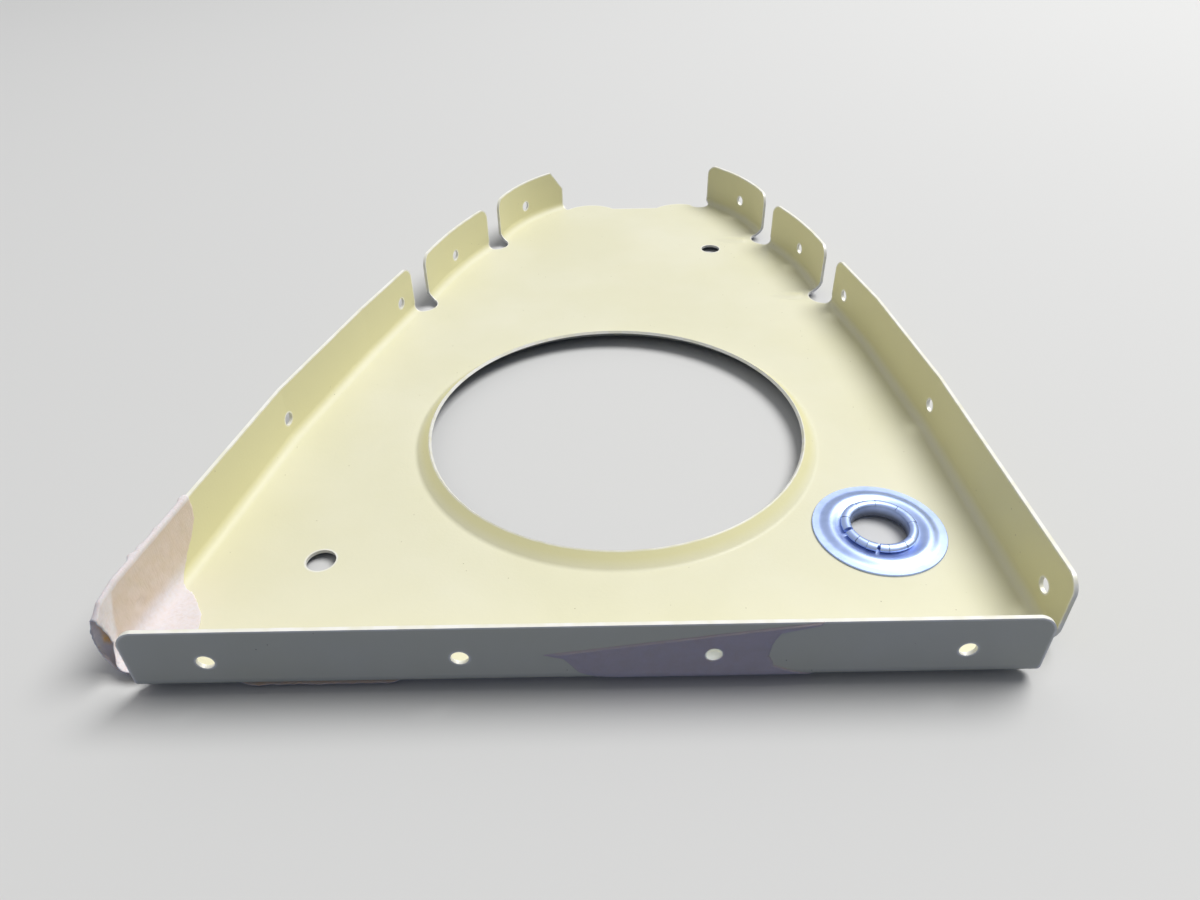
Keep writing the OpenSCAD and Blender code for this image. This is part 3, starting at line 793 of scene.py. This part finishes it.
# %% Sag of the corner tape
# s, and the height of the fold there
FOLD_SAG = [(-3.0, 12.8), (-2.0, 13.4), (-0.1, 14.8), (2.2, 15.3), (5.0, 15.8)]
SAG_FROM = 5.0
# s of each rag on the fold, and how far it stands out
FOLD_RAGS = [(11.2, 0.75), (13.6, 0.35), (19.0, 0.3), (28.3, 0.5)]
RAG_DEPTH, RAG_WIDTH = 1.6, 0.8
LOOSE_SPAN = (-0.4, 2.4)
POCKET, POCKET_ROUND = 2.0, 0.7
CRUMPLE_HELD, CRUMPLE_LOOSE, CRUMPLE_LEAST = 0.07, 0.28, -0.3
FOLDS, FOLDS_LAYER = 0.45, 3.0
WRINKLES, WRINKLES_SHARE, WRINKLES_LAYER = 1.3, 0.5, 9.0
# the paper dips into the rivet hole that it covers: its s and z, radius and depth
DENT, DENT_R, DENT_IN = (7.6, 6.9), 1.35, 0.2


def pocket_depth(s, z, fold_top, loose):
    """How far the outer layer stands away: a rounded pocket, and the rags on the fold."""
    height = min(1.0, max(0.0, z / fold_top))
    at_fold = smooth_share(z, fold_top - RAG_DEPTH, fold_top)
    rags = sum(size * at_fold * math.exp(-((s - at) / RAG_WIDTH) ** 2) for at, size in FOLD_RAGS)
    return POCKET * loose * math.sin(math.pi * height) ** POCKET_ROUND + rags


def corner_crumple(s, distance, loose):
    bump = noise.noise(Vector((s * FOLDS, distance * FOLDS, FOLDS_LAYER)))
    bump += WRINKLES_SHARE * noise.noise(Vector((s, distance, WRINKLES_LAYER)) * WRINKLES)
    return (CRUMPLE_HELD + CRUMPLE_LOOSE * loose) * max(CRUMPLE_LEAST, bump)


print("the fold drops by", round(FOLD_SAG[-1][1] - FOLD_SAG[0][1], 1), "mm past the flange")

# %% Corner tape
CORNER_GRID = (170, 80)
# height z, and s of the crease there
CREASE = [(6.1, -0.3), (9.0, 0.5), (11.9, 1.5), (15.1, 2.9)]
CREASE_SPAN = (-0.4, 0.5)
# white on the fold's top: partly the fold, partly painted light
FOLD_CREASE_AND_LIGHT, FOLD_WHITE_FROM, FOLD_WHITE_TO = 0.85, 0.6, 0.2
# painted light: white low on the inside, where the paper faces the lamp
FOOT_PAINTED_LIGHT, FOOT_LIGHT_SPAN = 0.95, (-6.4, -1.6)
DENT_WHITE = 0.1
# painted blue reflection: a little lilac white over the whole outer layer
OUTSIDE_PAINTED_REFLECTION = 0.12
# painted light: a bright amber strip of gum on the outer layer, for light through the paper
BACKLIT_GUM_S_SPAN, BACKLIT_GUM_Z_SPAN = (-1.3, -0.95), (3.8, 5.5)


def corner_white(s, z, fold_top, dent, inside):
    # outside, a painted blue reflection; low inside, painted light
    white = OUTSIDE_PAINTED_REFLECTION
    if inside:
        white = max(FOOT_PAINTED_LIGHT * smooth_share(-z, *FOOT_LIGHT_SPAN), DENT_WHITE * dent)
    creased = smooth_share(along_points(CREASE, z) - s, *CREASE_SPAN)
    folded = FOLD_CREASE_AND_LIGHT * smooth_share(z, fold_top - FOLD_WHITE_FROM, fold_top - FOLD_WHITE_TO)
    return max(white, creased, folded)


def corner_place(across, along):
    distance = across * corner_lengths[-1]
    w, z = along_points(corner_w, distance), along_points(corner_z, distance)
    inside = distance < corner_fold
    on_foot = inside and w > BEND_MM
    s = corner_reach(distance, along, w, z, inside, on_foot)
    fold_top = along_points(FOLD_SAG, s)
    if z > SAG_FROM:
        z = SAG_FROM + (z - SAG_FROM) * (fold_top - SAG_FROM) / (TOP_MM - SAG_FROM)

    loose = smooth_share(-s, *LOOSE_SPAN)
    out = corner_crumple(s, distance, loose)
    dent = 0.0
    if inside:
        dent = math.exp(-(math.hypot(s - DENT[0], z - DENT[1]) / DENT_R) ** 4)
        out -= DENT_IN * dent
    else:
        w -= pocket_depth(s, z, fold_top, loose)
    if on_foot:
        z += out
    else:
        w += out if inside else -out

    spot = (CORNER_AT + CORNER_ALONG * s + CORNER_IN * w) * MM
    spot.z = WEB_UNDER + z * MM
    # gum all over the inside; outside, the amber strip of painted light
    gum_and_backlight = 1.0 if inside else smooth_share(s, *BACKLIT_GUM_S_SPAN) * smooth_share(z, *BACKLIT_GUM_Z_SPAN)
    return spot, (distance, s), corner_white(s, z, fold_top, dent, inside), gum_and_backlight


def make_corner_tape():
    bm = bmesh.new()
    fold_grid(bm, *CORNER_GRID, corner_place)
    paper_piece("corner_paper", bm, "corner_tape")


make_corner_tape()

# %% [markdown]
# ## The tape on the spar flange
# A second remnant runs up the outer face of the spar flange and round the bend to the underside.
# Its upper edge is the tape's straight factory edge, and both ends are torn. Each row of the grid
# is a level on the face, and runs from the left edge to the right edge at that level,
# so the torn outlines are two short lists.

# %% Face of the spar tape
SPAR_TOP = 15.0
# level on the face, and x of the left or right edge there
SPAR_LEFT = [(0.0, 2.6), (1.0, 1.2), (2.6, -1.7), (4.6, -2.9), (6.3, -4.3), (7.5, -8.2),
             (15.0, 41.4)]
SPAR_RIGHT = [(0.0, 41.5), (1.1, 39.8), (3.6, 34.0), (6.4, 32.8), (9.1, 33.1), (12.3, 34.5),
              (14.2, 41.4), (15.0, 41.6)]
SPAR_FRAY, LEFT_SEED, RIGHT_SEED = 0.35, 2.0, 4.0
# above these levels the right edge, and the left one, are straight
RIGHT_TORN_TO = 14.0
LEFT_TORN_TO, LEFT_TORN_FADE = 7.4, 0.6
# the rivet hole under the tape, and the rim over which the paper dips into it
COVERED_HOLE = (22.85, 7.0)
COVERED_R = 1.65
RIM_SPAN = (0.85, 1.05)
# over the covered hole the paper is painted white: painted light coming through from behind
HOLE_DIP, HOLE_PAINTED_LIGHT = 0.1, 2.0
RIPPLE, RIPPLE_LEAST, RIPPLE_WAVES, RIPPLE_LAYER = 0.05, -0.6, 0.4, 1.0
# edges are pressed to the metal; the left one slants, so x there counts for less
EDGE_LEAN, EDGE_SOFT, EDGE_PRESS = 0.15, 0.5, 0.20
SPAR_WHITE = 0.25
TAPE_GLUE = 0.4
face_flat = SPAR_TOP + SHEET_MM - BEND_MM
tape_bend = BEND_MM + LIFT_MM
bend_turn = tape_bend * math.pi / 2


def down_the_spar(distance):
    """(y, height over the underside) in mm of a tape that runs down the face and round the bend."""
    if distance < face_flat:
        return -LIFT_MM, SPAR_TOP + SHEET_MM - distance
    angle = min(math.pi / 2, (distance - face_flat) / tape_bend)
    return BEND_MM - tape_bend * math.cos(angle), BEND_MM - tape_bend * math.sin(angle)


def spar_place(across, along):
    distance = along * (face_flat + bend_turn)
    y, z = down_the_spar(distance)
    level = z - SHEET_MM
    fray = SPAR_FRAY if level < RIGHT_TORN_TO else 0.0
    torn = smooth_share(LEFT_TORN_TO - level, 0.0, LEFT_TORN_FADE)
    left = along_points(SPAR_LEFT, level) + ragged(distance, fray, LEFT_SEED) * torn
    right = along_points(SPAR_RIGHT, level) + ragged(distance, fray, RIGHT_SEED)
    x = mix(left, right, across)
    hole = math.hypot(x - COVERED_HOLE[0], level - COVERED_HOLE[1]) / COVERED_R
    over_hole = 1 - smooth_share(hole, *RIM_SPAN)
    ripple = noise.noise(Vector((x * RIPPLE_WAVES, distance * RIPPLE_WAVES, RIPPLE_LAYER)))
    lift = RIPPLE * max(RIPPLE_LEAST, ripple)
    pressed = 1 - smooth_share(min((x - left) * EDGE_LEAN, right - x), 0.0, EDGE_SOFT)
    y += EDGE_PRESS * pressed + HOLE_DIP * over_hole - lift * (1 - pressed)
    spot = Vector((x, y, z)) * MM
    spot.z += WEB_UNDER
    # the covered hole's white is painted light
    return spot, (x, distance), max(SPAR_WHITE, HOLE_PAINTED_LIGHT * over_hole), TAPE_GLUE


print("the tape goes down the face for", round(face_flat, 1), "mm and round the bend for",
      round(bend_turn, 1), "mm")

# %% [markdown]
# ## The strip under the web
# Below the spar flange a longer strip shows as a ragged edge. It lies against the web's underside,
# and follows the bend where it reaches it. Its left part has come away, and hangs a little.
# Where the face's tape comes round the bend, the strip passes below it, so that both stay apart.

# %% Spar tape
FACE_GRID, UNDER_GRID = (200, 90), (160, 16)
UNDER_LEFT, UNDER_RIGHT = -66.7, 40.0
UNDER_FRONT, FRONT_FRAY, FRONT_SEED = 2.3, 0.5, 6.0
UNDER_BACK, BACK_FRAY, BACK_SEED = 12.2, 0.9, 8.0
END_SOFT, END_CUT = 3.0, 2.0
# the hanging part: its start as -x, how far it comes forward, its sag, and the sag's share
HANG_SPAN, HANG_OUT, HANG_SAG, HANG_SHARE = (33.0, 37.0), 0.9, 0.45, 0.25
LAP_DROP, LAP_SPAN = 0.27, (-4.0, 0.0)
UNDER_RIPPLE, UNDER_WAVES, UNDER_LAYER = 0.06, 0.5, 2.0
UNDER_WHITE = 0.7


def under_place(across, along):
    x = mix(UNDER_LEFT, UNDER_RIGHT, across)
    ends = min(smooth_share(x, UNDER_LEFT, UNDER_LEFT + END_SOFT),
               smooth_share(-x, -UNDER_RIGHT, -UNDER_RIGHT + END_SOFT))
    hanging = ends * smooth_share(-x, *HANG_SPAN)
    front = UNDER_FRONT - HANG_OUT * hanging + ragged(x, FRONT_FRAY, FRONT_SEED)
    back = UNDER_BACK + ragged(x, BACK_FRAY, BACK_SEED) - END_CUT * (1 - ends)
    y = mix(front, back, along)
    rise = BEND_MM - math.sqrt(max(0.0, BEND_MM ** 2 - max(0.0, BEND_MM - y) ** 2))
    sag = HANG_SAG * hanging * (1 - smooth_share(along, 0.0, HANG_SHARE))
    below_face = LAP_DROP * smooth_share(x, *LAP_SPAN)
    ripple = noise.noise(Vector((x * UNDER_WAVES, y * UNDER_WAVES, UNDER_LAYER)))
    z = rise * (1 - hanging) - LIFT_MM - below_face - sag - UNDER_RIPPLE * ripple
    return Vector((x, y, z)) * MM + Vector((0, 0, WEB_UNDER)), (x, y), UNDER_WHITE, TAPE_GLUE


def make_spar_tape():
    bm = bmesh.new()
    fold_grid(bm, *FACE_GRID, spar_place)
    fold_grid(bm, *UNDER_GRID, under_place)
    paper_piece("spar_paper", bm, "spar_tape")


make_spar_tape()

# %% [markdown]
# ## The floor
# The rib lies on a plain pale floor. A pale floor seen at its own colour would also throw much
# light up at the flanges, so the light that bounces off it has a darker, cooler colour.

# %% Floor
FLOOR_SIZE = 4.5
FLOOR_ROUGH = 0.9
FLOOR_SEEN = (0.66, 0.66, 0.655, 1.0)
FLOOR_BOUNCE = (0.11, 0.14, 0.27, 1.0)


def seen_or_bounced(tree, seen_colour, bounced_colour):
    """One colour for the eye and for mirrors, and another for the soft light that comes back."""
    ray = add_node(tree, "ShaderNodeLightPath").outputs
    seen = math_of(tree, "MAXIMUM", ray["Is Camera Ray"], ray["Is Glossy Ray"])
    seen = math_of(tree, "MAXIMUM", seen, ray["Is Transmission Ray"])
    return mix_colours(tree, seen, bounced_colour, seen_colour)


def make_floor():
    material, tree, shader = start_material("pale_floor")
    colour = seen_or_bounced(tree, FLOOR_SEEN, FLOOR_BOUNCE)
    tree.links.new(colour, shader.inputs["Base Color"])
    shader.inputs["Roughness"].default_value = FLOOR_ROUGH
    bm = bmesh.new()
    bmesh.ops.create_grid(bm, x_segments=1, y_segments=1, size=FLOOR_SIZE / 2)
    bmesh.ops.translate(bm, verts=bm.verts[:], vec=(0, 0, cad_low.z))
    mesh = bpy.data.meshes.new("floor")
    bm.to_mesh(mesh)
    bm.free()
    mesh.materials.append(material)
    floor = bpy.data.objects.new("floor", mesh)
    bpy.context.scene.collection.objects.link(floor)


make_floor()
print("the floor is", FLOOR_SIZE, "m wide")

# %% [markdown]
# ## Lamp and sky
# One wide soft lamp hangs high, to the right and a little behind, so that the web is bright and
# the face of the spar flange, which looks towards the camera, falls into shade.
# The sky fills in: it is brighter up and behind to the left, and dim towards the camera.
# The Standard view transform shows colours as they are written.

# %% Light
KEY_AT = Vector((1.05, 0.62, 1.98))
KEY_SIZE = 1.5
KEY_POWER = 51.0
KEY_COLOUR = (1.0, 0.995, 0.98)
WORLD_SEEN = (0.62, 0.64, 0.67, 1.0)
SKY_DIM = (0.075, 0.085, 0.110, 1.0)
SKY_BRIGHT = (0.50, 0.50, 0.50, 1.0)
SKY_AIM = (-0.45, 0.60, 0.66)
SKY_SPAN = (-0.2, 1.0)


def add_key_lamp():
    data = bpy.data.lights.new("key_overhead", "AREA")
    data.shape = "DISK"
    data.size = KEY_SIZE
    data.energy = KEY_POWER
    data.color = KEY_COLOUR
    lamp = bpy.data.objects.new("key_overhead", data)
    aim = (cad_low + cad_high) / 2 - KEY_AT
    facing = aim.to_track_quat("-Z", "Y").to_matrix().to_4x4()
    lamp.matrix_world = Matrix.Translation(KEY_AT) @ facing
    bpy.context.scene.collection.objects.link(lamp)


def make_sky():
    world = bpy.data.worlds.new("studio")
    world.use_nodes = True
    tree = world.node_tree
    way = add_node(tree, "ShaderNodeTexCoord").outputs["Generated"]
    turned = add_node(tree, "ShaderNodeVectorMath", {0: way, 1: SKY_AIM}, operation="DOT_PRODUCT")
    share = ramp_of(tree, turned.outputs["Value"], 0.0, 1.0, *SKY_SPAN)
    colour = seen_or_bounced(tree, WORLD_SEEN, mix_colours(tree, share, SKY_DIM, SKY_BRIGHT))
    tree.links.new(colour, tree.nodes["Background"].inputs["Color"])
    bpy.context.scene.world = world


add_key_lamp()
make_sky()
bpy.context.scene.view_settings.view_transform = "Standard"
print("the lamp gives", KEY_POWER, "W")
